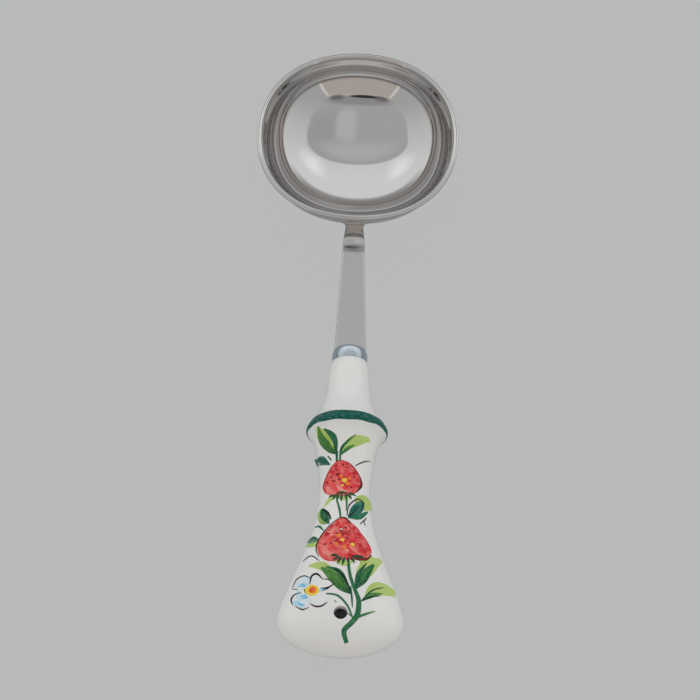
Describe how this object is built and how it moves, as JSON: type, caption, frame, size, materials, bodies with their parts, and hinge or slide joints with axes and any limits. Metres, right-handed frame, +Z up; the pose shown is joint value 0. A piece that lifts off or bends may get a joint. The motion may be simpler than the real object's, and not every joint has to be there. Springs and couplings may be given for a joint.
{
  "type": "soup ladle",
  "caption": "Soup ladle lying flat: round steel bowl with a flared lip, flat steel stem, ferrule and a hollow glazed ceramic handle painted with strawberries.",
  "frame": {"origin": "centre of the object's box, on the flat surface that the ladle lies on", "axes": "+Y along the ladle towards the bowl, +X across it, +Z up, with the bowl's mouth tipped 1.65 degrees"},
  "size_m": [0.0896, 0.2878, 0.0336],
  "materials": {
    "polished_steel": "polished",
    "braze": "satin",
    "satin_metal": "satin",
    "white_glaze": "gloss",
    "cement": "matte",
    "ceramic_paint": "gloss"
  },
  "bodies": {
    "root": {"bowl": "polished_steel", "braze_seam": "braze", "stem": "polished_steel", "ferrule": "satin_metal", "handle": "white_glaze", "cement_core": "cement"}
  },
  "joints": []
}
